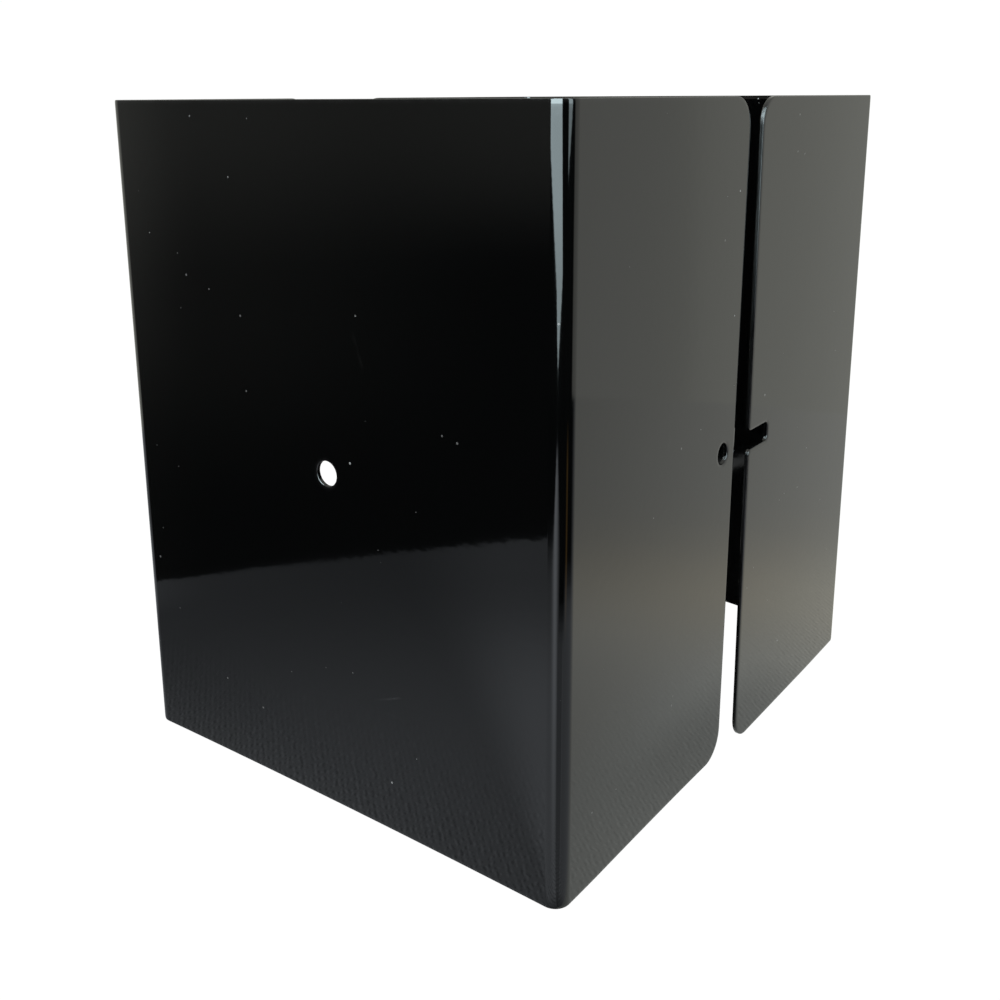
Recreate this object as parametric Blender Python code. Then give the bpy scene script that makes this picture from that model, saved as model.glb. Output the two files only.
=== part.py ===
"""Two-half wrap-around sleeve for a square fence post: powder-coated, folded sheet steel.

Each half is one sheet with two folds: a full-width panel between a flange that has a round screw hole
(the hole flange) and a flange that has an open-ended slot (the slot flange). The second half is the same
pressing turned round, so at each of the two seams a slot flange laps over a hole flange. The halves stand
a little way apart, as they do before they are pushed together around the post.

Metres, +Z up. X runs along the near seam side, +Y away from it, origin at the middle of the base.
"""
import math

import bmesh
import bpy
from mathutils import Vector

HEIGHT = 0.1650             # 6 1/2 in tall
SIDE = 0.1306               # outside width of a panel: a 5 in post plus clearance plus two sheets
SHEET = 0.0012              # 18 gauge steel with its coat
FOLD_RADIUS = 0.0035        # outside radius of each fold
SLOT_FLANGE_SPRING = math.radians(7.5)   # the slot flange is left open by this much past square

HOLE_FLANGE = 0.0761        # outside corner to free edge, at half height
SLOT_FLANGE = 0.0732
EDGE_TAPER = 0.0009         # a free edge sits this much further out at the head, further in at the foot
HOLE_FLANGE_CORNER = 0.0074
SLOT_FLANGE_CORNER = 0.0064

SCREW_HOLE = 0.0053         # hole in the hole flange
SCREW_HOLE_INSET = 0.0063   # its centre, from the free edge
SCREW_HOLE_RISE = -0.0004   # its centre, above half height
SLOT_WIDTH = 0.0050
SLOT_DEPTH = 0.0113         # free edge to the slot's closed end
SLOT_RISE = 0.0003
SLOT_END_RADIUS = 0.0014    # the two inner corners of the slot
PANEL_HOLE = 0.0059         # hole for a screw through the middle of the panel
PANEL_HOLE_SHIFT = 0.0020   # it sits this much nearer the hole flange than the panel's centre line
PANEL_HOLE_RISE = 0.0012

SEAM_GAP = 0.0049           # between the free edges of the near seam, at half height
LAP_CLEARANCE = 0.0003      # a slot flange runs this far clear of the hole flange it laps

FOLD_SEGMENTS = 10
CORNER_SEGMENTS = 8
HOLE_SEGMENTS = 48
CUTTER_REACH = 0.0060       # how far a cutter stands out of each side of the sheet
SAME_PLACE = 1e-7
SHARP_ANGLE = math.radians(30)

ALONG_SLOT_FLANGE = Vector((math.cos(SLOT_FLANGE_SPRING), math.sin(SLOT_FLANGE_SPRING), 0.0))
PANEL_END = Vector((0.0, SIDE, 0.0))


def clear_scene():
    for obj in list(bpy.data.objects):
        bpy.data.objects.remove(obj, do_unlink=True)


def powder_coat(name):
    mat = bpy.data.materials.new(name)
    mat.use_nodes = True
    shader = mat.node_tree.nodes["Principled BSDF"]
    shader.inputs["Base Color"].default_value = (0.012, 0.012, 0.012, 1.0)
    shader.inputs["Roughness"].default_value = 0.18
    shader.inputs["Metallic"].default_value = 0.0
    return mat


def add_object(name, bm):
    mesh = bpy.data.meshes.new(name)
    bm.to_mesh(mesh)
    bm.free()
    obj = bpy.data.objects.new(name, mesh)
    bpy.context.scene.collection.objects.link(obj)
    return obj


def round_corners(bm, on_hole_flange, radius):
    """Round the two free corners of one flange."""
    corners = [v for v in bm.verts if len(v.link_edges) == 2 and (v.co.y < SIDE / 2) == on_hole_flange]
    bmesh.ops.bevel(bm, geom=corners, offset=radius, segments=CORNER_SEGMENTS, profile=0.5,
                    affect="VERTICES")


def fold(bm, y, turn):
    """Round the fold that runs up the line at x = 0 and this y, where the sheet turns by turn."""
    line = [e for e in bm.edges
            if all(abs(v.co.x) < SAME_PLACE and abs(v.co.y - y) < SAME_PLACE for v in e.verts)]
    bmesh.ops.bevel(bm, geom=line, offset=FOLD_RADIUS * math.tan(turn / 2), segments=FOLD_SEGMENTS,
                    profile=0.5, affect="EDGES")


def folded_sheet():
    """Outside skin of one half, in its own frame: hole-flange corner at the origin, hole flange along +X,
    panel along +Y."""
    along_hole_flange = Vector((1.0, 0.0, 0.0))
    chain = [HOLE_FLANGE * along_hole_flange, Vector(), PANEL_END,
             PANEL_END + SLOT_FLANGE * ALONG_SLOT_FLANGE]
    leans = [EDGE_TAPER * along_hole_flange, Vector(), Vector(), EDGE_TAPER * ALONG_SLOT_FLANGE]
    rise = Vector((0.0, 0.0, HEIGHT))

    bm = bmesh.new()
    foot = [bm.verts.new(point - lean) for point, lean in zip(chain, leans)]
    head = [bm.verts.new(point + lean + rise) for point, lean in zip(chain, leans)]
    for i in range(len(chain) - 1):
        bm.faces.new((foot[i], head[i], head[i + 1], foot[i + 1]))
    round_corners(bm, True, HOLE_FLANGE_CORNER)
    round_corners(bm, False, SLOT_FLANGE_CORNER)
    fold(bm, 0.0, math.pi / 2)
    fold(bm, SIDE, math.pi / 2 - SLOT_FLANGE_SPRING)

    bmesh.ops.recalc_face_normals(bm, faces=bm.faces)
    panel = max(bm.faces, key=lambda face: face.calc_area())
    if panel.normal.x > 0:
        bmesh.ops.reverse_faces(bm, faces=bm.faces)
    for face in bm.faces:
        face.smooth = True
    return bm


def drill(name, diameter, centre, direction):
    """A round cutter whose axis runs through centre."""
    bm = bmesh.new()
    bmesh.ops.create_cone(bm, cap_ends=True, segments=HOLE_SEGMENTS, radius1=diameter / 2,
                          radius2=diameter / 2, depth=2 * CUTTER_REACH)
    turn = Vector((0.0, 0.0, 1.0)).rotation_difference(direction).to_matrix()
    bmesh.ops.rotate(bm, cent=(0, 0, 0), matrix=turn, verts=bm.verts)
    bmesh.ops.translate(bm, verts=bm.verts, vec=centre)
    return add_object(name, bm)


def slot_cutter(name):
    """A flat bar with two rounded corners that opens the slot from the free edge inwards."""
    half = SLOT_WIDTH / 2
    past_edge = SLOT_DEPTH
    centre_x = SLOT_END_RADIUS - SLOT_DEPTH
    centre_z = half - SLOT_END_RADIUS
    bm = bmesh.new()
    ring = [bm.verts.new((past_edge, 0.0, -half)), bm.verts.new((past_edge, 0.0, half))]
    steps = HOLE_SEGMENTS // 4
    for side, start in ((1, math.pi / 2), (-1, math.pi)):
        for i in range(steps + 1):
            turn = start + math.pi / 2 * i / steps
            ring.append(bm.verts.new((centre_x + SLOT_END_RADIUS * math.cos(turn), 0.0,
                                      side * centre_z + SLOT_END_RADIUS * math.sin(turn))))
    face = bm.faces.new(ring)
    solid = bmesh.ops.extrude_face_region(bm, geom=[face])["geom"]
    bmesh.ops.translate(bm, verts=[v for v in solid if isinstance(v, bmesh.types.BMVert)],
                        vec=(0.0, 2 * CUTTER_REACH, 0.0))
    bmesh.ops.translate(bm, verts=bm.verts, vec=(0.0, -CUTTER_REACH, 0.0))
    bmesh.ops.recalc_face_normals(bm, faces=bm.faces)
    turn = Vector((1.0, 0.0, 0.0)).rotation_difference(ALONG_SLOT_FLANGE).to_matrix()
    bmesh.ops.rotate(bm, cent=(0, 0, 0), matrix=turn, verts=bm.verts)
    free_edge = PANEL_END + SLOT_FLANGE * ALONG_SLOT_FLANGE
    free_edge.z = HEIGHT / 2 + SLOT_RISE
    bmesh.ops.translate(bm, verts=bm.verts, vec=free_edge)
    return add_object(name, bm)


def make_half(name, location, turn):
    half = add_object(name, folded_sheet())
    half.data.materials.append(powder_coat(name + "_coat"))
    half.data.set_sharp_from_angle(angle=SHARP_ANGLE)

    wall = half.modifiers.new("sheet", "SOLIDIFY")
    wall.thickness = SHEET
    wall.offset = -1.0
    wall.use_even_offset = True

    panel_hole_at = Vector((0.0, SIDE / 2 - PANEL_HOLE_SHIFT, HEIGHT / 2 + PANEL_HOLE_RISE))
    screw_hole_at = Vector((HOLE_FLANGE - SCREW_HOLE_INSET, 0.0, HEIGHT / 2 + SCREW_HOLE_RISE))
    cutters = [
        drill(name + "_panel_hole", PANEL_HOLE, panel_hole_at, Vector((1.0, 0.0, 0.0))),
        drill(name + "_screw_hole", SCREW_HOLE, screw_hole_at, Vector((0.0, 1.0, 0.0))),
        slot_cutter(name + "_slot"),
    ]
    for cutter in cutters:
        cutter.parent = half
        cutter.hide_render = True
        cutter.display_type = "WIRE"
        cut = half.modifiers.new(cutter.name, "BOOLEAN")
        cut.operation = "DIFFERENCE"
        cut.solver = "EXACT"
        cut.object = cutter
    half.location = location
    half.rotation_euler = (0.0, 0.0, turn)
    return half


def base_middle(objects):
    """Middle of the finished solids' box, at the base."""
    depsgraph = bpy.context.evaluated_depsgraph_get()
    points = []
    for obj in objects:
        shown = obj.evaluated_get(depsgraph)
        points += [shown.matrix_world @ vert.co for vert in shown.data.vertices]
    xs = [point.x for point in points]
    ys = [point.y for point in points]
    return Vector(((min(xs) + max(xs)) / 2, (min(ys) + max(ys)) / 2, 0.0))


def main():
    clear_scene()
    turn_b = math.pi - SLOT_FLANGE_SPRING       # turned round until its slot flange faces along -X
    lap = SHEET + LAP_CLEARANCE
    near_right = Vector((HOLE_FLANGE + SEAM_GAP + SLOT_FLANGE, -lap, 0.0))
    up_panel_b = Vector((math.sin(SLOT_FLANGE_SPRING), math.cos(SLOT_FLANGE_SPRING), 0.0))

    halves = [make_half("half_a", Vector(), 0.0),
              make_half("half_b", near_right + SIDE * up_panel_b, turn_b)]

    bpy.context.view_layer.update()
    middle = base_middle(halves)
    for half in halves:
        half.location -= middle


main()
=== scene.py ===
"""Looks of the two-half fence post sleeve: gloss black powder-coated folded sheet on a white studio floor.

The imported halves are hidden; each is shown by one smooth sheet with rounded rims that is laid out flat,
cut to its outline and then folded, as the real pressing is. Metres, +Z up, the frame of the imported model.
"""
import math

import bmesh
import bpy
import numpy as np
from mathutils import Matrix, Vector
from mathutils.geometry import delaunay_2d_cdt


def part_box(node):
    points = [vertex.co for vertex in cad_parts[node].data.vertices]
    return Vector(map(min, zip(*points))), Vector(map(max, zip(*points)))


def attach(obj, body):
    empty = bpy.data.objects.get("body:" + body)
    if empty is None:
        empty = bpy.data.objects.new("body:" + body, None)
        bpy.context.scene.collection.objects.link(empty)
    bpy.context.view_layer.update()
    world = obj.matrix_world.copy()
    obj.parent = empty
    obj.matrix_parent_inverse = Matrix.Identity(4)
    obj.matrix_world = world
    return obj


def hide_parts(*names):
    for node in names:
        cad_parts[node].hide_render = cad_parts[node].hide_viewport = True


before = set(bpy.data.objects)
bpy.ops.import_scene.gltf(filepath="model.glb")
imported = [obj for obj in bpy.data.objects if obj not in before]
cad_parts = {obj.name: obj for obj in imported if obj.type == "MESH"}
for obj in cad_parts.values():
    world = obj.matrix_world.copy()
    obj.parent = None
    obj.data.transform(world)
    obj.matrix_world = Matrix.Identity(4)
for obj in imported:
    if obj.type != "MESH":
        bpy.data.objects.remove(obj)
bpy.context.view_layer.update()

# ---- the pressing -------------------------------------------------------------------------------------
HEIGHT = 0.1650
SIDE = 0.1306
SHEET = 0.0012
PACKED_FOLD_RADIUS = 0.0035
FOLD_RADIUS = 0.0038                # as shown: the coat and the bent sheet round the fold a little more
SPRING = math.radians(7.5)          # the slot flange stands open by this much past square
HOLE_FLANGE = 0.0761
SLOT_FLANGE_GROWTH = 0.0006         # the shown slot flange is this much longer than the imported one
SLOT_FLANGE = 0.0732 + SLOT_FLANGE_GROWTH
EDGE_TAPER = 0.0009
HOLE_FLANGE_CORNER = 0.0074
SLOT_FLANGE_CORNER = 0.0064
SCREW_HOLE = 0.0053
SCREW_HOLE_INSET = 0.0063
SCREW_HOLE_RISE = -0.0004
SLOT_WIDTH = 0.0050
SLOT_DEPTH = 0.0113
SLOT_RISE = 0.0003
SLOT_END_RADIUS = 0.0014
SLOT_MOUTH_LOW = 0.0014             # corners of the slot's mouth, rounded by shearing and coat
SLOT_MOUTH_HIGH = 0.0011
PANEL_HOLE = 0.0059
PANEL_HOLE_SHIFT = 0.0020
PANEL_HOLE_RISE = 0.0012
PANEL_BOW = 0.0006                  # the panel dishes inwards by this much between its folds
RIM_RADIUS = 0.00025                # sheared edge rounded over by the coat
SHOULDER = 0.0010                   # the coat starts to roll over this far from an edge
SHOULDER_SLOPE = math.radians(8.0)
HOLE_FLANGE_SAG = 0.0008            # the foot edge runs out of square by this much at the free edges
FLANGE_SAG = 0.0002                 # and by this much along the rest of a flange
SLOT_FLANGE_SAG = 0.0004
SAG_HEIGHT = 0.030                  # the sag has died out this far up

GRID = 0.0035                       # mesh spacing on the flats
FOLD_STEPS = 20
SHOULDER_STEPS = 3
RIM_STEPS = 4
CORNER_STEPS = 14
SMALL_CORNER = 0.0030
SMALL_CORNER_STEPS = 8
HOLE_STEPS = 72
SLIVER = 1e-9                       # faces of less area lie along a straight rim and are dropped
CLEAR_OF_RIM = 0.0009               # no inner mesh point is nearer than this to a rim
SAME_PLACE = 1e-6
MERGE_WITHIN = 1e-7
FLAT_QUAD = 0.1                     # how far from flat and from rectangular a joined quad may be
SQUARE_QUAD = math.radians(50.0)
INNER_SIDE = 0.3                    # the coat's pattern on the inner side is taken this far from the outer's


def fold_path():
    """Stations along the outside of the pressing: developed length, x, y, heading, turn per metre.

    Developed length is 0 where the hole flange meets its fold, and grows over the panel to the slot flange.
    """
    chord = SIDE - FOLD_RADIUS * (1.0 + math.tan((math.pi / 2 - SPRING) / 2))
    dish = 4.0 * PANEL_BOW / chord                       # heading of the dished panel at its two ends
    square, sprung = math.pi / 2 + dish, math.pi / 2 - SPRING + dish
    lengths = (HOLE_FLANGE, square * FOLD_RADIUS, chord, sprung * FOLD_RADIUS, SLOT_FLANGE)
    turns = (0.0, -square, 2.0 * dish, -sprung, 0.0)
    stations = []
    x, y, heading = HOLE_FLANGE + FOLD_RADIUS * math.cos(dish), 0.0, math.pi
    start = -HOLE_FLANGE
    for length, turn in zip(lengths, turns):
        rate = turn / length
        stations.append((start, x, y, heading, rate))
        x, y, heading = advance(x, y, heading, rate, length)
        start += length
    return stations, lengths


def advance(x, y, heading, rate, length):
    if rate == 0.0:
        return x + length * math.cos(heading), y + length * math.sin(heading), heading
    ahead = heading + rate * length
    return (x + (math.sin(ahead) - math.sin(heading)) / rate,
            y - (math.cos(ahead) - math.cos(heading)) / rate, ahead)


STATIONS, LENGTHS = fold_path()
FOLD_A_END = LENGTHS[1]
PANEL_END = FOLD_A_END + LENGTHS[2]
FOLD_B_END = PANEL_END + LENGTHS[3]


def place(s, z, depth):
    """Point at developed length s and height z, depth inside the outer skin, with its tangent and outward."""
    start, x, y, heading, rate = max((st for st in STATIONS if st[0] <= s or st is STATIONS[0]),
                                     key=lambda st: st[0])
    x, y, heading = advance(x, y, heading, rate, s - start)
    tangent = Vector((math.cos(heading), math.sin(heading), 0.0))
    outward = Vector((-math.sin(heading), math.cos(heading), 0.0))
    return Vector((x, y, z)) - depth * outward, tangent, outward


def sag(s, z):
    """How much lower than square cut the pressing lies near its foot."""
    out_hole = max(0.0, s / hole_edge(0.0))
    out_slot = max(0.0, (s - PANEL_END) / (slot_edge(0.0) - PANEL_END))
    left = max(0.0, 1.0 - max(0.0, z) / SAG_HEIGHT)
    hole_side = HOLE_FLANGE_SAG * out_hole ** 3 + FLANGE_SAG * min(1.0, 8.0 * out_hole)
    return (hole_side + SLOT_FLANGE_SAG * min(1.0, 3.0 * out_slot)) * left


def taper(z):
    return EDGE_TAPER * (2.0 * z / HEIGHT - 1.0)


def hole_edge(z):
    return -(HOLE_FLANGE - FOLD_RADIUS) - taper(z)


def slot_edge(z):
    return FOLD_B_END + SLOT_FLANGE - FOLD_RADIUS * math.tan((math.pi / 2 - SPRING) / 2) + taper(z)


def grid_lines():
    """Developed lengths and heights that the mesh follows: close together in the folds."""
    def spaced(low, high, step):
        return list(np.linspace(low, high, max(2, round((high - low) / step) + 1)))

    across = spaced(hole_edge(HEIGHT), 0.0, GRID)[:-1]
    across += spaced(0.0, FOLD_A_END, FOLD_A_END / FOLD_STEPS)[:-1]
    across += spaced(FOLD_A_END, PANEL_END, GRID)[:-1]
    across += spaced(PANEL_END, FOLD_B_END, (FOLD_B_END - PANEL_END) / FOLD_STEPS)[:-1]
    across += spaced(FOLD_B_END, slot_edge(HEIGHT), GRID)
    return across, spaced(SHOULDER, HEIGHT - SHOULDER, GRID)


def rounded_loop(corners, across, up):
    """Points and outward directions along a closed outline, from corners of (s, z, radius), anticlockwise."""
    loop = []
    count = len(corners)
    arcs = []
    for i, (s, z, radius) in enumerate(corners):
        here = Vector((s, z))
        back = (Vector(corners[i - 1][:2]) - here).normalized()
        ahead = (Vector(corners[(i + 1) % count][:2]) - here).normalized()
        half_angle = back.angle(ahead) / 2
        reach = radius / math.tan(half_angle)
        centre = here + (back + ahead).normalized() * (radius / math.sin(half_angle))
        convex = back.x * ahead.y - back.y * ahead.x < 0
        arcs.append((here + back * reach, here + ahead * reach, centre, radius, convex))
    for i, (first, last, centre, radius, convex) in enumerate(arcs):
        sign = 1.0 if convex else -1.0
        a0 = math.atan2(first.y - centre.y, first.x - centre.x)
        sweep = math.remainder(math.atan2(last.y - centre.y, last.x - centre.x) - a0, 2 * math.pi)
        steps = CORNER_STEPS if radius > SMALL_CORNER else SMALL_CORNER_STEPS
        for k in range(steps + 1):
            a = a0 + sweep * k / steps
            ray = Vector((math.cos(a), math.sin(a)))
            loop.append((centre + radius * ray, sign * ray))
        target = arcs[(i + 1) % count][0]
        run = target - last
        if run.length > 2 * CLEAR_OF_RIM:
            normal = Vector((run.y, -run.x)).normalized()
            axis, lines = (0, across) if abs(run.x) > abs(run.y) else (1, up)
            cuts = sorted((line - last[axis]) / run[axis] for line in lines)
            margin = CLEAR_OF_RIM / 4 / run.length
            for t in cuts:
                if margin < t < 1.0 - margin:
                    loop.append((last + run * t, normal))
        if (loop[-1][0] - target).length < SAME_PLACE:
            loop.pop()
    return loop


def hole_loop(s, z, diameter):
    loop = []
    for k in range(HOLE_STEPS):
        a = -2 * math.pi * k / HOLE_STEPS
        ray = Vector((math.cos(a), math.sin(a)))
        loop.append((Vector((s, z)) + ray * diameter / 2, -ray))
    return loop


def blank_loops(across, up):
    """The blank's outline and its two round holes."""
    middle = HEIGHT / 2
    low = middle + SLOT_RISE - SLOT_WIDTH / 2
    high = low + SLOT_WIDTH
    slot_end = slot_edge(middle) - SLOT_DEPTH
    foot, head = 0.0, HEIGHT
    outline = rounded_loop([
        (hole_edge(0.0), foot, HOLE_FLANGE_CORNER), (slot_edge(0.0), foot, SLOT_FLANGE_CORNER),
        (slot_edge(low), low, SLOT_MOUTH_LOW), (slot_end, low, SLOT_END_RADIUS),
        (slot_end, high, SLOT_END_RADIUS), (slot_edge(high), high, SLOT_MOUTH_HIGH),
        (slot_edge(HEIGHT), head, SLOT_FLANGE_CORNER), (hole_edge(HEIGHT), head, HOLE_FLANGE_CORNER),
    ], across, up)
    panel_hole = hole_loop(FOLD_A_END + SIDE / 2 - PANEL_HOLE_SHIFT - FOLD_RADIUS, middle + PANEL_HOLE_RISE,
                           PANEL_HOLE)
    screw_hole = hole_loop(hole_edge(middle) + SCREW_HOLE_INSET, middle + SCREW_HOLE_RISE, SCREW_HOLE)
    return [outline, panel_hole, screw_hole]


def inside(points, ring):
    """Which points lie inside a closed ring of points."""
    x, y = points[:, 0], points[:, 1]
    hit = np.zeros(len(points), dtype=bool)
    for (x0, y0), (x1, y1) in zip(ring, np.roll(ring, -1, axis=0)):
        if y0 == y1:
            continue
        crosses = (y0 > y) != (y1 > y)
        hit ^= crosses & (x < (x1 - x0) * (y - y0) / (y1 - y0) + x0)
    return hit


def gap_to(points, ring):
    """Least distance from each point to a closed ring."""
    least = np.full(len(points), np.inf)
    for a, b in zip(ring, np.roll(ring, -1, axis=0)):
        along = b - a
        t = np.clip(((points - a) @ along) / (along @ along), 0.0, 1.0)
        least = np.minimum(least, np.linalg.norm(points - a - t[:, None] * along, axis=1))
    return least


def flat_area(corners):
    return abs(sum(a.x * b.y - b.x * a.y for a, b in zip(corners, corners[1:] + corners[:1]))) / 2


def flat_faces(rings, across, up):
    """Vertices and faces of the flat of the blank inside its rims, the rings' own points first."""
    arrays = [np.array(ring) for ring in rings]
    grid = np.array([(s, z) for s in across for z in up])
    keep = inside(grid, arrays[0])
    for ring in arrays[1:]:
        keep &= ~inside(grid, ring)
    for ring in arrays:
        keep &= gap_to(grid, ring) > CLEAR_OF_RIM
    points = [Vector(p) for ring in rings for p in ring] + [Vector(p) for p in grid[keep]]
    edges = []
    start = 0
    for ring in rings:
        edges += [(start + i, start + (i + 1) % len(ring)) for i in range(len(ring))]
        start += len(ring)
    verts, _, faces, *_ = delaunay_2d_cdt(points, edges, [], 0, MERGE_WITHIN)
    assert len(verts) == len(points)
    middles = np.array([(sum((verts[i] for i in face), Vector((0.0, 0.0))) / len(face))[:] for face in faces])
    keep = inside(middles, arrays[0])
    for ring in arrays[1:]:
        keep &= ~inside(middles, ring)
    faces = [face for face, kept in zip(faces, keep) if kept and flat_area([verts[i] for i in face]) > SLIVER]

    bm = bmesh.new()
    made = [bm.verts.new((p[0], p[1], 0.0)) for p in verts]
    for i, vert in enumerate(made):
        vert.index = i
    for face in faces:
        bm.faces.new([made[i] for i in face])
    bmesh.ops.recalc_face_normals(bm, faces=bm.faces)
    bmesh.ops.join_triangles(bm, faces=bm.faces, angle_face_threshold=FLAT_QUAD,
                             angle_shape_threshold=SQUARE_QUAD)
    quads = []
    for face in bm.faces:
        order = [vert.index for vert in face.verts]
        quads.append(order if face.normal.z > 0 else order[::-1])
    bm.free()
    return verts, quads


def rim_profile():
    """Steps round a rim: inset from the outline, depth, and the normal's share outward and sideways."""
    start = RIM_RADIUS * (1.0 - math.sin(SHOULDER_SLOPE))
    run = SHOULDER - start
    drop = 0.5 * run * math.tan(SHOULDER_SLOPE)
    steps = []
    for k in range(SHOULDER_STEPS):
        t = k / SHOULDER_STEPS
        slope = SHOULDER_SLOPE * t
        steps.append((SHOULDER - t * run, drop * t * t, math.cos(slope), math.sin(slope)))
    for k in range(RIM_STEPS + 1):
        slope = SHOULDER_SLOPE + (math.pi / 2 - SHOULDER_SLOPE) * k / RIM_STEPS
        depth = drop + RIM_RADIUS * (math.cos(SHOULDER_SLOPE) - math.cos(slope))
        steps.append((RIM_RADIUS * (1.0 - math.sin(slope)), depth, math.cos(slope), math.sin(slope)))
    return steps + [(inset, SHEET - depth, -out, side) for inset, depth, out, side in reversed(steps)]


def pressing_mesh(name, turn):
    """One half as seen from above turned by turn about its hole-flange corner."""
    spin = Matrix.Rotation(turn, 3, "Z")
    across, up = grid_lines()
    loops = blank_loops(across, up)
    profile = rim_profile()
    rings = [[p - n * profile[0][0] for p, n in loop] for loop in loops]
    flat, faces = flat_faces(rings, across, up)
    flat_count = len(flat)

    # each row: s, z, depth, the normal's shares along s, up and outward, and the share of rim wear and
    # painted rim highlight
    rows = [(p[0], p[1], 0.0, 0.0, 0.0, 1.0, 0.0) for p in flat]
    rows += [(p[0], p[1], SHEET, 0.0, 0.0, -1.0, 0.0) for p in flat]
    polygons = [face[::-1] for face in faces]
    polygons += [[i + flat_count for i in face] for face in faces]
    start = 0
    for loop in loops:
        count = len(loop)
        previous = [start + i for i in range(count)]
        for inset, depth, out, side in profile[1:-1]:
            current = [len(rows) + i for i in range(count)]
            # the outer half of each rim takes a lighter coat: partly real wear, partly a painted highlight
            # along the edges
            wear_and_sheen = max(0.0, 2.0 * out * side) if depth < SHEET / 2 else 0.0
            rows += [(*(p - n * inset), depth, n.x * side, n.y * side, out, wear_and_sheen) for p, n in loop]
            polygons += rim_faces(previous, current)
            previous = current
        polygons += rim_faces(previous, [flat_count + start + i for i in range(count)])
        start += count

    points, normals = [], []
    for s, z, depth, along, rise, out, _ in rows:
        point, tangent, outward = place(s, z - sag(s, z), depth)
        points.append(spin @ point)
        normals.append((spin @ (along * tangent + out * outward + Vector((0.0, 0.0, rise)))).normalized())
    mesh = bpy.data.meshes.new(name)
    mesh.from_pydata(points, [], polygons)
    mesh.polygons.foreach_set("use_smooth", [True] * len(mesh.polygons))
    mesh.normals_split_custom_set_from_vertices(normals)
    blank = mesh.attributes.new("blank", "FLOAT_VECTOR", "POINT")
    on_blank = [(s, z, INNER_SIDE if depth > SHEET / 2 else 0.0) for s, z, depth, *_ in rows]
    blank.data.foreach_set("vector", [value for spot in on_blank for value in spot])
    # the edge attribute carries that share of rim wear and painted rim highlight
    edge = mesh.attributes.new("edge", "FLOAT", "POINT")
    edge.data.foreach_set("value", [row[6] for row in rows])
    return mesh


def rim_faces(previous, current):
    """Quads between two closed rings of vertices."""
    following = previous[1:] + previous[:1]
    current_following = current[1:] + current[:1]
    return list(zip(previous, following, current_following, current))


# ---- gloss black powder coat ----------------------------------------------------------------------------
class Nodes:
    """Short-hand for adding and linking shader nodes."""

    def __init__(self, tree):
        self.tree = tree

    def add(self, kind, settings=None, **inputs):
        node = self.tree.nodes.new(kind)
        for key, value in (settings or {}).items():
            setattr(node, key, value)
        for key, value in inputs.items():
            self.set(node, key.replace("_", " "), value)
        return node

    def set(self, node, key, value):
        socket = node.inputs[int(key)] if key.isdigit() else node.inputs[key]
        if isinstance(value, bpy.types.NodeSocket):
            self.tree.links.new(value, socket)
        else:
            socket.default_value = value


BLACK = (0.0015, 0.0017, 0.0018, 1.0)
DUST = (0.26, 0.27, 0.27, 1.0)
# lighter coat for hairline scuffs and rim wear; on the outer rims it also paints a highlight along the edges
SCUFF_AND_RIM_SHEEN = (0.040, 0.041, 0.043, 1.0)
COAT_IOR = 1.5
SEED_SHIFT = (0.31, 0.17, 0.05)
PEEL_SCALE, PEEL_HEIGHT = 420.0, 0.7            # fine orange peel, and the slow waves under it
WAVE_SCALE, WAVE_HEIGHT = 30.0, 6.0
BUMP_STRENGTH, BUMP_DISTANCE = 0.16, 0.00006
SPECK_CELL, SPECK_RADIUS, SPECK_SHARE = 0.009, 0.00036, 0.90
GRIT_CELL, GRIT_RADIUS, GRIT_SHARE = 0.0045, 0.00030, 0.35
GRIT_DEPTH = 0.5
DUST_COVER = 0.75
STRAND_TURN = 0.7
STRAND_STRETCH = (9.0, 42.0, 20.0)
HAIRLINE_WIDTH = 0.0035
HAIRLINE_PATCHES = (0.64, 0.72)
RIM_WEAR_AND_SHEEN_PATCHES = (0.30, 0.62)
RIM_WEAR_AND_SHEEN_COVER, HAIRLINE_COVER = 0.45, 0.20
HAZE_PATCHES = (0.42, 0.75)
ROUGHNESS, HAZE_ROUGHNESS = 0.050, 0.022
WORN_ROUGHNESS, DUST_ROUGHNESS, HAIRLINE_ROUGHNESS = 0.08, 0.45, 0.20


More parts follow.
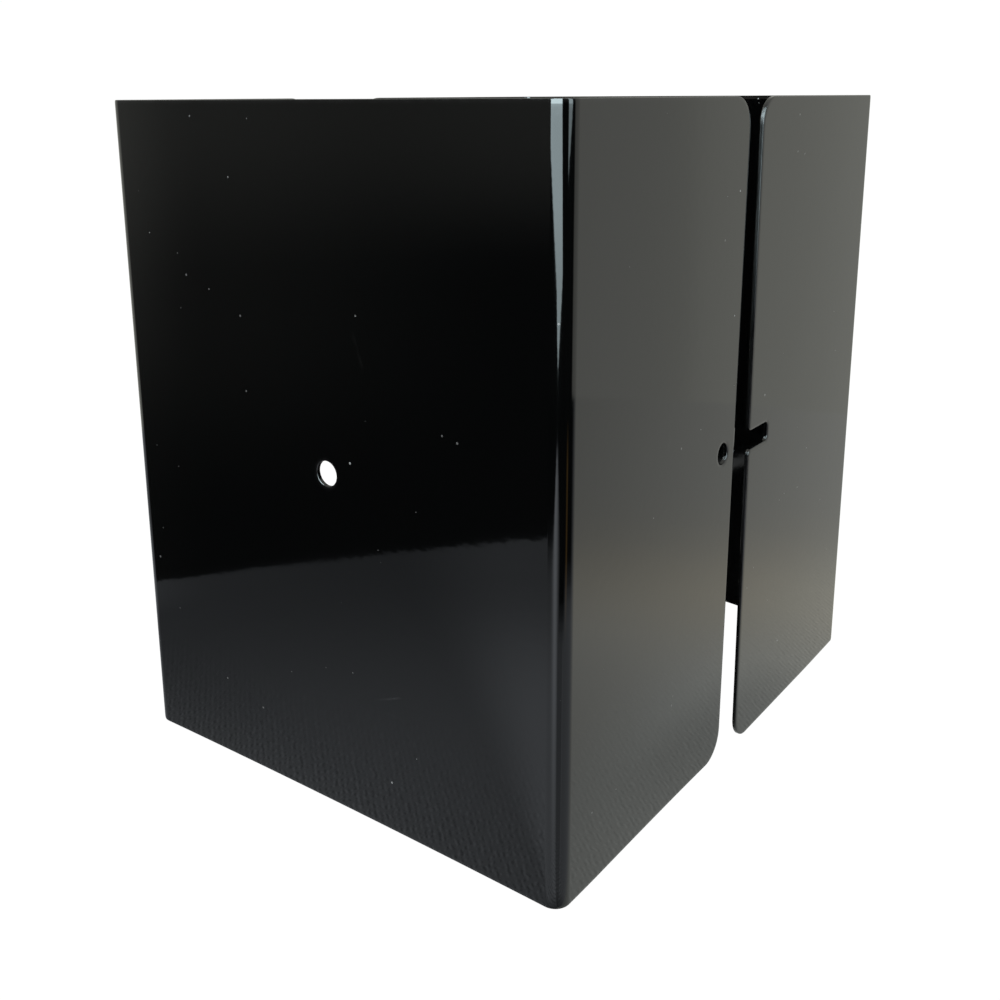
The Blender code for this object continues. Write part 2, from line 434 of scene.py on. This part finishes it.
def coat(name, seed):
    """Gloss black powder coat: orange peel, faint handling haze, dust specks, hairlines, and lighter outer
    rims that are partly wear and partly a painted edge highlight.
    """
    mat = bpy.data.materials.new(name)
    mat.use_nodes = True
    tree = mat.node_tree
    shader = tree.nodes["Principled BSDF"]
    nodes = Nodes(tree)
    blank = nodes.add("ShaderNodeAttribute", {"attribute_name": "blank"}).outputs["Vector"]
    edge = nodes.add("ShaderNodeAttribute", {"attribute_name": "edge"}).outputs["Fac"]
    location = tuple(seed * shift for shift in SEED_SHIFT)
    where = nodes.add("ShaderNodeMapping", Vector=blank, Location=location).outputs["Vector"]

    def math_node(operation, a, b=0.0, clamp=False):
        node = nodes.add("ShaderNodeMath", {"operation": operation, "use_clamp": clamp})
        nodes.set(node, "0", a)
        nodes.set(node, "1", b)
        return node.outputs["Value"]

    def noise(scale, detail=2.0, rough=0.5):
        node = nodes.add("ShaderNodeTexNoise", {"noise_dimensions": "3D"}, Vector=where, Scale=scale,
                         Detail=detail, Roughness=rough)
        return node.outputs["Fac"]

    def remap(value, low, high, out_low=0.0, out_high=1.0):
        node = nodes.add("ShaderNodeMapRange", {"interpolation_type": "SMOOTHSTEP"}, Value=value)
        for key, number in (("From Min", low), ("From Max", high), ("To Min", out_low), ("To Max", out_high)):
            nodes.set(node, key, number)
        return node.outputs["Result"]

    def dots(cell, radius, share):
        """Small round dots, one in some of the cells of a random pattern."""
        cells = nodes.add("ShaderNodeTexVoronoi", {"feature": "F1", "voronoi_dimensions": "3D"}, Vector=where,
                          Scale=1.0 / cell, Randomness=1.0)
        pick = nodes.add("ShaderNodeSeparateColor", Color=cells.outputs["Color"])
        size = math_node("MULTIPLY", pick.outputs["Red"], radius / cell)
        spot = math_node("LESS_THAN", cells.outputs["Distance"], size)
        return math_node("MULTIPLY", spot, math_node("LESS_THAN", pick.outputs["Green"], share))

    peel = math_node("MULTIPLY", noise(PEEL_SCALE, 1.0), PEEL_HEIGHT)
    waves = math_node("MULTIPLY", noise(WAVE_SCALE, 1.0), WAVE_HEIGHT)
    height = math_node("ADD", peel, waves)

    specks = dots(SPECK_CELL, SPECK_RADIUS, SPECK_SHARE)
    grit = dots(GRIT_CELL, GRIT_RADIUS, GRIT_SHARE)
    dust = math_node("MAXIMUM", specks, math_node("MULTIPLY", grit, GRIT_DEPTH))

    stretched = nodes.add("ShaderNodeMapping", Vector=where, Rotation=(0.0, 0.0, STRAND_TURN),
                          Scale=STRAND_STRETCH)
    strands = nodes.add("ShaderNodeTexVoronoi", {"feature": "DISTANCE_TO_EDGE", "voronoi_dimensions": "3D"},
                        Vector=stretched.outputs["Vector"], Scale=1.0)
    thin = math_node("LESS_THAN", strands.outputs["Distance"], HAIRLINE_WIDTH)
    hairline = math_node("MULTIPLY", thin, remap(noise(34.0, 3.0), *HAIRLINE_PATCHES))

    # lighter outer rims in patches: partly real wear, partly a painted highlight along the edges
    worn_and_sheen = math_node("MULTIPLY", edge, remap(noise(240.0, 4.0, 0.7), *RIM_WEAR_AND_SHEEN_PATCHES, 0.25, 1.0), clamp=True)
    haze = remap(noise(16.0, 4.0, 0.6), *HAZE_PATCHES)

    shade = nodes.add("ShaderNodeMix", {"data_type": "RGBA"})
    nodes.set(shade, "0", math_node("MULTIPLY", dust, DUST_COVER))
    shade.inputs[6].default_value = BLACK
    shade.inputs[7].default_value = DUST
    scuffed_and_sheen = nodes.add("ShaderNodeMix", {"data_type": "RGBA"})
    nodes.set(scuffed_and_sheen, "0", math_node("ADD", math_node("MULTIPLY", worn_and_sheen, RIM_WEAR_AND_SHEEN_COVER),
                                      math_node("MULTIPLY", hairline, HAIRLINE_COVER), clamp=True))
    nodes.set(scuffed_and_sheen, "6", shade.outputs[2])
    scuffed_and_sheen.inputs[7].default_value = SCUFF_AND_RIM_SHEEN
    nodes.set(shader, "Base Color", scuffed_and_sheen.outputs[2])

    rough = math_node("ADD", ROUGHNESS, math_node("MULTIPLY", haze, HAZE_ROUGHNESS))
    rough = math_node("ADD", rough, math_node("MULTIPLY", worn_and_sheen, WORN_ROUGHNESS))
    rough = math_node("ADD", rough, math_node("MULTIPLY", dust, DUST_ROUGHNESS))
    rough = math_node("ADD", rough, math_node("MULTIPLY", hairline, HAIRLINE_ROUGHNESS), clamp=True)
    nodes.set(shader, "Roughness", rough)
    shader.inputs["IOR"].default_value = COAT_IOR

    bump = nodes.add("ShaderNodeBump", Height=height, Strength=BUMP_STRENGTH, Distance=BUMP_DISTANCE)
    nodes.set(shader, "Normal", bump.outputs["Normal"])
    return mat


def add_half(node, location, turn, seed):
    piece = bpy.data.objects.new(node + "_sheet", pressing_mesh(node + "_sheet", turn))
    bpy.context.scene.collection.objects.link(piece)
    piece.location = location
    piece.data.materials.append(coat(node + "_gloss_black", seed))
    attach(piece, node)
    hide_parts(node)
    return piece


SEED_A, SEED_B = 3, 11
low_a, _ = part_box("half_a")
low_b, high_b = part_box("half_b")
corner_a = Vector((low_a[0], low_a[1], 0.0))
add_half("half_a", corner_a, 0.0, SEED_A)
fold_overhang = PACKED_FOLD_RADIUS * (1.0 - math.cos(SPRING) - math.sin(SPRING))
corner_b = Vector((high_b[0] + SLOT_FLANGE_GROWTH - fold_overhang, low_b[1] + SIDE * math.cos(SPRING), 0.0))
add_half("half_b", corner_b, math.pi - SPRING, SEED_B)

# ---- camera ---------------------------------------------------------------------------------------------
HEADING = math.radians(36.758)
PITCH = math.radians(13.837)
ROLL = math.radians(-0.358)
CAMERA_FROM_CORNER = Vector((-0.169975, -0.108752, 0.1655))
SENSOR_WIDTH = 36.0
LENS = 40.70
SHIFT = (0.0137, -0.1261)
NEAREST_SEEN = 0.01
forward = Vector((math.cos(HEADING) * math.cos(PITCH), math.sin(HEADING) * math.cos(PITCH), -math.sin(PITCH)))
level_right = Vector((math.sin(HEADING), -math.cos(HEADING), 0.0))
level_up = level_right.cross(forward)
right = level_right * math.cos(ROLL) + level_up * math.sin(ROLL)
up = level_up * math.cos(ROLL) - level_right * math.sin(ROLL)
camera_data = bpy.data.cameras.new("camera")
camera_data.sensor_width = SENSOR_WIDTH
camera_data.lens = LENS
camera_data.shift_x, camera_data.shift_y = SHIFT
camera_data.clip_start = NEAREST_SEEN
camera = bpy.data.objects.new("camera", camera_data)
bpy.context.scene.collection.objects.link(camera)
turned_to_view = Matrix((right, up, -forward)).transposed().to_4x4()
camera.matrix_world = Matrix.Translation(corner_a + CAMERA_FROM_CORNER) @ turned_to_view
bpy.context.scene.camera = camera

# ---- studio ---------------------------------------------------------------------------------------------
WORLD_LEVEL = 1.02
world = bpy.data.worlds.new("studio")
bpy.context.scene.world = world
world.use_nodes = True
world.node_tree.nodes["Background"].inputs["Color"].default_value = (1.0, 1.0, 1.0, 1.0)
world.node_tree.nodes["Background"].inputs["Strength"].default_value = WORLD_LEVEL
bpy.context.scene.view_settings.view_transform = "Standard"

AXIS = Vector((math.cos(HEADING), math.sin(HEADING), 0.0))       # along the camera's view, level
LEFT = Vector((-math.sin(HEADING), math.cos(HEADING), 0.0))      # square to it, to the camera's left
CAMERA_FOOT = corner_a + Vector((CAMERA_FROM_CORNER.x, CAMERA_FROM_CORNER.y, 0.0))
PANEL_B_END = corner_b - SIDE * Vector((math.sin(SPRING), math.cos(SPRING), 0.0))

FLOOR_REACH = 4.0
FLOOR_ALBEDO = 0.05
FLOOR_ROUGHNESS = 0.9
SEEN_FLOOR = -0.0010                # the floor the camera sees lies just under the lowest edge
INSIDE_FLOOR = -0.0011
MIRRORED_FLOOR = -0.0012
ROOM_RADIUS = 0.42
ROOM_HEIGHT = 1.2
TURN_STEPS = 480
FLAG_OFFSET = 0.1866                # the dark flag stands this far to the left of the camera's axis

WEAVE_TURN = math.radians(-42.0)    # the floor cloth's threads
WEAVE_SCALE = 230.0
WEAVE_DISTORTION, WEAVE_DETAIL, WEAVE_DETAIL_SCALE = 3.5, 2.0, 1.6
WEAVE_DEPTH = 0.38
BREAK_SCALE = 620.0                 # the threads show in patches of this fineness
BREAK_PATCHES = (0.42, 0.62)
THREADS_REACH = 0.070               # they can be seen this far out from the sleeve's foot
THREADS_BY_FLANGE = 0.4
THREADS_FALL = 1.5

WHITE = Vector((1.0, 1.0, 1.0))
PALE = Vector((0.985, 1.0, 0.93))
COOL = Vector((0.955, 1.012, 1.09))
WARM = Vector((0.06, 0.0, -0.09))
NEAR_COOL = Vector((-0.015, 0.008, 0.030))
YELLOWER = Vector((0.0, 0.0, -0.02))
WINDOW = Vector((0.82, 1.0, 1.05))
TABLE_EDGE = Vector((0.62, 0.35, 0.08))
PALE_LEVEL = 0.70                   # the floor and the room on the pale side
# the floor between the halves is painted this dark as the shade inside the sleeve
DARK_LEVEL = 0.004                  # the flag, and the floor between the halves
STREAK_POINT = (0.070, -0.115)      # a soft bright streak of light lies across the floor to the right
STREAK_HEADING = math.radians(53.0)
STREAK_LEVEL, STREAK_WIDTH = 0.20, 0.045
WARM_WIDTH = 0.06


def stage_object(name, mesh, material, seen_by_camera):
    """A part of the stage that is seen by the camera only, or in reflections only."""
    obj = bpy.data.objects.new(name, mesh)
    bpy.context.scene.collection.objects.link(obj)
    mesh.materials.append(material)
    obj.visible_camera = seen_by_camera
    obj.visible_glossy = not seen_by_camera
    obj.visible_diffuse = False
    obj.visible_shadow = False
    obj.visible_transmission = False
    return obj


def paper(name):
    """Matt white paper that glows just enough to stay white under any light."""
    mat = bpy.data.materials.new(name)
    mat.use_nodes = True
    shader = mat.node_tree.nodes["Principled BSDF"]
    shader.inputs["Base Color"].default_value = (FLOOR_ALBEDO, FLOOR_ALBEDO, FLOOR_ALBEDO, 1.0)
    shader.inputs["Roughness"].default_value = FLOOR_ROUGHNESS
    shader.inputs["Specular IOR Level"].default_value = 0.0
    shader.inputs["Emission Color"].default_value = (1.0, 1.0, 1.0, 1.0)
    shader.inputs["Emission Strength"].default_value = 1.0
    return mat


def weave(nodes, light, depth):
    """A cloth's broken threads as a factor of about 1; the depth fades with the light colour's alpha."""
    spot = nodes.add("ShaderNodeTexCoord").outputs["Object"]
    turned = nodes.add("ShaderNodeMapping", Vector=spot, Rotation=(0.0, 0.0, WEAVE_TURN)).outputs["Vector"]
    threads = nodes.add("ShaderNodeTexWave", {"wave_type": "BANDS", "bands_direction": "X"}, Vector=turned,
                        Scale=WEAVE_SCALE, Distortion=WEAVE_DISTORTION, Detail=WEAVE_DETAIL)
    nodes.set(threads, "Detail Scale", WEAVE_DETAIL_SCALE)
    broken = nodes.add("ShaderNodeTexNoise", {"noise_dimensions": "2D"}, Vector=turned, Scale=BREAK_SCALE,
                       Detail=2.0)
    patch = nodes.add("ShaderNodeMapRange", Value=broken.outputs["Fac"])
    for key, number in (("From Min", BREAK_PATCHES[0]), ("From Max", BREAK_PATCHES[1]), ("To Max", depth)):
        nodes.set(patch, key, number)
    faded = nodes.add("ShaderNodeMath", {"operation": "MULTIPLY"})
    nodes.set(faded, "0", patch.outputs["Result"])
    nodes.set(faded, "1", light.outputs["Alpha"])
    centred = nodes.add("ShaderNodeMapRange", Value=threads.outputs["Fac"])
    nodes.set(centred, "To Min", -1.0)
    ripple = nodes.add("ShaderNodeMath", {"operation": "MULTIPLY_ADD"})
    nodes.set(ripple, "0", centred.outputs["Result"])
    nodes.set(ripple, "1", faded.outputs["Value"])
    nodes.set(ripple, "2", 1.0)
    return ripple.outputs["Value"]


def lit_card(name, weave_depth=0.0):
    """A surface that glows with its own "light" colours, with a cloth pattern in them if there is a depth."""
    mat = bpy.data.materials.new(name)
    mat.use_nodes = True
    mat.node_tree.nodes.clear()
    nodes = Nodes(mat.node_tree)
    light = nodes.add("ShaderNodeAttribute", {"attribute_name": "light"})
    emitter = nodes.add("ShaderNodeEmission", Color=light.outputs["Color"], Strength=1.0)
    if weave_depth:
        nodes.set(emitter, "Strength", weave(nodes, light, weave_depth))
    nodes.add("ShaderNodeOutputMaterial", Surface=emitter.outputs["Emission"])
    return mat


def step(edge0, edge1, x):
    """0 below edge0, 1 above edge1, smooth between; edges may be given either way round."""
    t = min(1.0, max(0.0, (x - edge0) / (edge1 - edge0)))
    return t * t * (3.0 - 2.0 * t)


def hump(centre, width, x):
    return math.exp(-((x - centre) / width) ** 2)


def blend(low, high, share):
    return low + (high - low) * share


def polar_point(azimuth, distance, z):
    a = math.radians(azimuth)
    return corner_a + Vector((distance * math.cos(a), distance * math.sin(a), z))


def graded_mesh(name, columns, rows, position, light):
    """A strip mesh over columns by rows whose corners carry the colours given by light(column, row)."""
    spots = [(column, row) for column in columns for row in rows]
    points = [position(column, row) for column, row in spots]
    count = len(rows)
    faces = [(i * count + j, (i + 1) * count + j, (i + 1) * count + j + 1, i * count + j + 1)
             for i in range(len(columns) - 1) for j in range(count - 1)]
    mesh = bpy.data.meshes.new(name)
    mesh.from_pydata(points, [], faces)
    colours = mesh.color_attributes.new("light", "FLOAT_COLOR", "POINT")
    values = [(*light(column, row), thread_depth(point)) for (column, row), point in zip(spots, points)]
    colours.data.foreach_set("color", [v for value in values for v in value])
    return mesh


def foot_gap(point):
    """Distance on the floor in front of half_a's panel and hole flange."""
    return math.hypot(max(0.0, corner_a.x - point.x), max(0.0, corner_a.y - point.y))


def thread_depth(point):
    """The floor cloth's threads are sharp close to the sleeve and melt away from it."""
    shown = 1.0 if point.x < corner_a.x else THREADS_BY_FLANGE
    return shown * step(THREADS_REACH, 0.0, foot_gap(point)) ** THREADS_FALL


# In the lights below an azimuth is in degrees anticlockwise from +X, seen from above, about half_a's near
# corner: the window stands from 143 to about 230, and the camera's dark side reaches on to about 290. A pair
# of values is where a light fades in, or fades out if the larger comes first.
BEYOND_STREAK, BEYOND_STREAK_DIM = (-0.05, -0.12), 0.09
FLANGE_SHADOW = 0.22                # by the foot of the near seam's flanges
SHADOW_OUT, SHADOW_START, SHADOW_END = (0.022, 0.006), (0.030, 0.085), (0.14, 0.11)
FRONT_LIFT, FOOT_LIFT = 0.08, 0.05  # half_a's flange mirrors a slightly brighter strip of floor
BY_FOOT, LIFT_OUT, LIFT_END = (0.045, 0.015), (0.10, 0.06), (0.07, 0.02)


def pale_floor(point, across):
    """Level of the lit floor to the right of the sleeve and behind it."""
    front = corner_a.y - point.y
    run = point.x - corner_a.x
    level = PALE_LEVEL + STREAK_LEVEL * hump(0.0, STREAK_WIDTH, across)
    level -= BEYOND_STREAK_DIM * step(*BEYOND_STREAK, across)
    shadow = step(*SHADOW_OUT, front) * step(*SHADOW_START, run) * step(*SHADOW_END, run)
    level *= 1.0 - FLANGE_SHADOW * shadow
    lift = FRONT_LIFT + FOOT_LIFT * step(*BY_FOOT, front)
    return level * (1.0 + lift * step(*LIFT_OUT, front) * step(*LIFT_END, point.x))


# painted shadow: beside the panel, toward its far end, the floor is kept dark as in the sleeve's own shadow,
# dimming outwards
BACK_LEFT_LEVEL, BACK_LEFT_DIM = 0.42, 0.54
BACK_LEFT_DIM_FROM, BACK_LEFT_DIM_TO = (0.05, 0.19), (0.40, 0.25)
FAR_CORNER_LIFT, FAR_CORNER_Y, FAR_CORNER_REACH = 0.22, (0.128, 0.142), (0.30, 0.23)
# LEFT_AZIMUTH is the soft edge of that painted shadow; beyond it the floor is lit
LEFT_DIM, LEFT_DIM_FROM, LEFT_AZIMUTH = 0.50, (0.08, 0.17), (127.0, 141.0)
# painted pool of window light on the mirrored floor
GLOW_START, GLOW_RISE, GLOW_REACH = 0.1, 7.0, 0.17          # the floor below the window
GLOW_AZIMUTH, GLOW_WIDTH = 197.0, 15.0
# painted shadow of the camera's side on the floor toward the camera
FRONT_LEFT_LEVEL, FRONT_LEFT_START, FRONT_LEFT_END = 0.40, (208.0, 219.0), (249.0, 242.0)
FRONT_LEVEL, FRONT_START = 0.52, (243.0, 254.0)
LIT_REACH, LIT_REACH_CUT, LIT_REACH_GROWTH = 0.17, 0.035, 0.12
LIT_CUT_AZIMUTH, LIT_GROWTH_AZIMUTH, LIT_GROWTH_WIDTH = (225.0, 245.0), 203.0, 12.0
LIT_EDGE, LIT_EDGE_START = 0.05, (146.0, 149.0)
SHADE_FROM, SHADE_START, SHADE_END = (0.115, 0.15), (216.0, 225.0), (262.0, 248.0)
# painted contact shadow close to half_a's near corner
CONTACT_LEVEL, CONTACT_REACH = 0.3, 0.006


def dark_floor(azimuth, distance, point):
    """Level of the floor in front of the panel, which darkens outwards into the shade of the room; painted
    shadows of the sleeve and of the camera's side, a painted contact shadow and a painted pool of window
    light lie on it.
    """
    dim = BACK_LEFT_DIM * step(*BACK_LEFT_DIM_FROM, distance) * step(*BACK_LEFT_DIM_TO, distance)
    back_left = BACK_LEFT_LEVEL * (1.0 - dim)
    back_left += FAR_CORNER_LIFT * step(*FAR_CORNER_Y, point.y) * step(*FAR_CORNER_REACH, distance)
    left = PALE_LEVEL * (1.0 - LEFT_DIM * step(*LEFT_DIM_FROM, distance))
    level = blend(back_left, left, step(*LEFT_AZIMUTH, azimuth))
    glow = GLOW_START + GLOW_RISE * min(distance, GLOW_REACH)
    level += glow * hump(GLOW_AZIMUTH, GLOW_WIDTH, azimuth)
    level = blend(level, FRONT_LEFT_LEVEL, step(*FRONT_LEFT_START, azimuth) * step(*FRONT_LEFT_END, azimuth))
    level = blend(level, FRONT_LEVEL, step(*FRONT_START, azimuth))

    edge = LIT_REACH - LIT_REACH_CUT * step(*LIT_CUT_AZIMUTH, azimuth)
    edge += LIT_REACH_GROWTH * hump(LIT_GROWTH_AZIMUTH, LIT_GROWTH_WIDTH, azimuth)
    level *= 1.0 - step(edge, edge + LIT_EDGE, distance) * step(*LIT_EDGE_START, azimuth)
    level *= 1.0 - step(*SHADE_FROM, distance) * step(*SHADE_START, azimuth) * step(*SHADE_END, azimuth)
    return level * blend(CONTACT_LEVEL, 1.0, step(0.0, CONTACT_REACH, distance))


PALE_FLOOR_RIGHT, PALE_FLOOR_BACK = (291.0, 326.0), (100.0, 60.0)
WARM_FROM = (-0.01, 0.09)
TABLE_AZIMUTH, TABLE_WIDTH, TABLE_START, TABLE_END = 264.0, 4.0, (0.12, 0.17), (0.36, 0.30)


def floor_light(azimuth, distance):
    """Colour of the mirrored floor, by azimuth and distance from half_a's near corner."""
    point = polar_point(azimuth, distance, 0.0)
    across = ((point.x - STREAK_POINT[0]) * math.sin(STREAK_HEADING)
              - (point.y - STREAK_POINT[1]) * math.cos(STREAK_HEADING))
    pale_side = min(1.0, step(*PALE_FLOOR_RIGHT, azimuth) + step(*PALE_FLOOR_BACK, azimuth))
    level = blend(dark_floor(azimuth, distance, point), pale_floor(point, across), pale_side)
    warmth = hump(0.0, WARM_WIDTH, across) * step(*WARM_FROM, point.x)
    by_foot = step(*BY_FOOT, corner_a.y - point.y)
    tint = COOL + (PALE - COOL) * pale_side + (WARM * warmth + NEAR_COOL * by_foot) * pale_side
    table = hump(TABLE_AZIMUTH, TABLE_WIDTH, azimuth)
    table *= step(*TABLE_START, distance) * step(*TABLE_END, distance)
    return level * tint + TABLE_EDGE * table


LINTEL = 0.16                       # the slanted ends of the window and the lamp run straight up above this
HIGH = (0.157, 0.175)               # above the sleeve's head both are brighter
WINDOW_LEVEL, WINDOW_UPPER, WINDOW_UPPER_FROM, WINDOW_HIGH = 5.0, 1.2, (0.06, 0.11), 1.5
WINDOW_START, WINDOW_START_EDGE = 145.0, (143.6, 144.8)
SILL, SILL_FALL, SILL_NOTCH, SILL_NOTCH_AT = 0.145, 0.0018, 0.025, (190.0, 200.0)
NEAR_SILL, NEAR_SILL_RISE, NEAR_SILL_START = 0.022, 0.0025, 206.0
SILL_SOFT = 0.004
JAMB, JAMB_LEAN, JAMB_SOFT = 213.0, 115.0, 1.5
LAMP_LEVEL, LAMP_HIGH = 2.97, 3.15
LAMP_FOOT, LAMP_START, LAMP_END, LAMP_END_SOFT = (0.120, 0.130), (248.0, 250.5), 253.0, 2.0
LAMP_LEAN, LAMP_LEAN_FROM = 560.0, 0.126


def window_level(azimuth, z):
    """The window over the panel's side: a sloping sill, a leaning jamb, brightest at its top."""
    sill = SILL - SILL_FALL * (azimuth - WINDOW_START) - SILL_NOTCH * step(*SILL_NOTCH_AT, azimuth)
    sill = max(sill, NEAR_SILL + NEAR_SILL_RISE * (azimuth - NEAR_SILL_START))
    jamb = JAMB + JAMB_LEAN * (LINTEL - min(z, LINTEL))
    level = step(sill - SILL_SOFT, sill + SILL_SOFT, z) * step(*WINDOW_START_EDGE, azimuth)
    level *= step(jamb + JAMB_SOFT, jamb - JAMB_SOFT, azimuth)
    level *= WINDOW_LEVEL + WINDOW_UPPER * step(*WINDOW_UPPER_FROM, z)
    return level * (1.0 + WINDOW_HIGH * step(*HIGH, z))


def lamp_level(azimuth, z):
    """A small high lamp that makes the second strip of light on the near fold."""
    end = LAMP_END + LAMP_LEAN * max(0.0, min(z, LINTEL) - LAMP_LEAN_FROM)
    level = step(*LAMP_FOOT, z) * step(*LAMP_START, azimuth)
    level *= step(end + LAMP_END_SOFT, end - LAMP_END_SOFT, azimuth)
    return level * (LAMP_LEVEL + LAMP_HIGH * step(*HIGH, z))


PALE_ROOM_RIGHT, PALE_ROOM_BACK = (284.0, 294.0), (124.0, 118.0)
ROOM_DARK, CEILING_LIFT, CEILING = 0.006, 0.15, (0.17, 0.35)
YELLOWER_AT = (331.0, 338.0)
RIGHT_LIFT, RIGHT_LIFT_AT = 0.11, (335.0, 327.0)
SEAM_LIFT, SEAM_LIFT_AT = 0.07, (336.0, 337.5)
SLOT_DIM, SLOT_DIM_AT = 0.09, (339.0, 345.0)


def room_light(azimuth, z):
    """Colour of the room round the floor: pale to the right and behind, dark to the camera's side."""
    pale_side = min(1.0, step(*PALE_ROOM_RIGHT, azimuth) + step(*PALE_ROOM_BACK, azimuth))
    dark = ROOM_DARK + CEILING_LIFT * step(*CEILING, z)
    round_right = azimuth if azimuth > 180.0 else azimuth + 360.0
    tint = PALE + YELLOWER * step(*YELLOWER_AT, round_right)
    lift = RIGHT_LIFT * step(*RIGHT_LIFT_AT, round_right) + SEAM_LIFT * step(*SEAM_LIFT_AT, round_right)
    tint = tint * (1.0 + lift)
    tint = tint * (1.0 - SLOT_DIM * step(*SLOT_DIM_AT, round_right))
    lit = window_level(azimuth, z) + lamp_level(azimuth, z)
    return tint * blend(dark, PALE_LEVEL, pale_side) + WINDOW * lit


FLAG_FAR_LEVEL, FLAG_FAR_START, FLAG_FAR_FOOT, FLAG_FAR_RISE = 0.25, (0.255, 0.292), 0.08, (0.05, 0.15)
FLAG_MID_LEVEL, FLAG_MID_START, FLAG_MID_RISE = 0.045, (0.14, 0.25), (0.02, 0.10)
FLAG_NEAR_LEVEL, FLAG_NEAR_END, FLAG_NEAR_RISE = 0.07, (0.21, 0.14), (0.105, 0.145)
FLAG_HEAD_LEVEL, FLAG_HEAD_RISE = 0.13, (0.10, 0.165)


def flag_light(along, z):
    """The dark flag to the camera's left brightens softly towards its head and its far end."""
    level = DARK_LEVEL + FLAG_HEAD_LEVEL * step(*FLAG_HEAD_RISE, z)
    level += FLAG_MID_LEVEL * step(*FLAG_MID_START, along) * step(*FLAG_MID_RISE, z)
    level += FLAG_NEAR_LEVEL * step(*FLAG_NEAR_END, along) * step(*FLAG_NEAR_RISE, z)
    rise = blend(FLAG_FAR_FOOT, 1.0, step(*FLAG_FAR_RISE, z))
    level += FLAG_FAR_LEVEL * step(*FLAG_FAR_START, along) * rise
    return PALE * level


# painted shade: the floor between the halves is kept dark like the shade inside the sleeve
def painted_shade_inside(u, v):
    return DARK_LEVEL * WHITE


def plain_white(x, y):
    return WHITE


def flag_point(along, z):
    return CAMERA_FOOT + FLAG_OFFSET * LEFT + along * AXIS + Vector((0.0, 0.0, z))


def room_point(azimuth, z):
    return polar_point(azimuth, ROOM_RADIUS, z)


def floor_point(azimuth, distance):
    return polar_point(azimuth, distance, MIRRORED_FLOOR)


def flat_square(x, y):
    return Vector((x, y, SEEN_FLOOR))


def inside_point(u, v):
    """Point on the floor between the halves, u from panel to panel and v from the near seam to the far."""
    right_end = PANEL_B_END.x + (corner_b.x - PANEL_B_END.x) * v
    x = corner_a.x + SHEET + (right_end - corner_a.x - 2.5 * SHEET) * u
    return Vector((x, corner_a.y + SHEET + (corner_b.y - corner_a.y - 2.5 * SHEET) * v, INSIDE_FLOOR))


def mirrored_card(name, columns, rows, position, light, weave_depth=0.0):
    """A card that only reflections see."""
    mesh = graded_mesh(name, columns, rows, position, light)
    return stage_object(name, mesh, lit_card(name, weave_depth), False)


all_round = [360.0 * k / TURN_STEPS for k in range(TURN_STEPS + 1)]
distances = [0.0] + [0.004 * 1.12 ** k for k in range(41)] + [ROOM_RADIUS]
heights = [MIRRORED_FLOOR + 0.004 * k for k in range(61)] + [0.27, 0.35, 0.5, 0.8, ROOM_HEIGHT]
flag_run = [0.122 + 0.007 * k for k in range(25)]
flag_rise = [MIRRORED_FLOOR + 0.01 * k for k in range(22)]
both_ends = (0.0, 1.0)

stage_object("floor", graded_mesh("floor", (-FLOOR_REACH, FLOOR_REACH), (-FLOOR_REACH, FLOOR_REACH),
                                  flat_square, plain_white), paper("floor_paper"), True)
# the mirrored floor glows with painted light and shade: the sleeve's shadows, a contact shadow and pools of
# light
mirrored_card("floor_mirrored", all_round, distances, floor_point, floor_light, WEAVE_DEPTH)
# painted shade on the floor inside the sleeve, seen only in reflections
mirrored_card("floor_inside", both_ends, both_ends, inside_point, painted_shade_inside)
mirrored_card("room_mirrored", all_round, heights, room_point, room_light)
mirrored_card("flag_mirrored", flag_run, flag_rise, flag_point, flag_light)
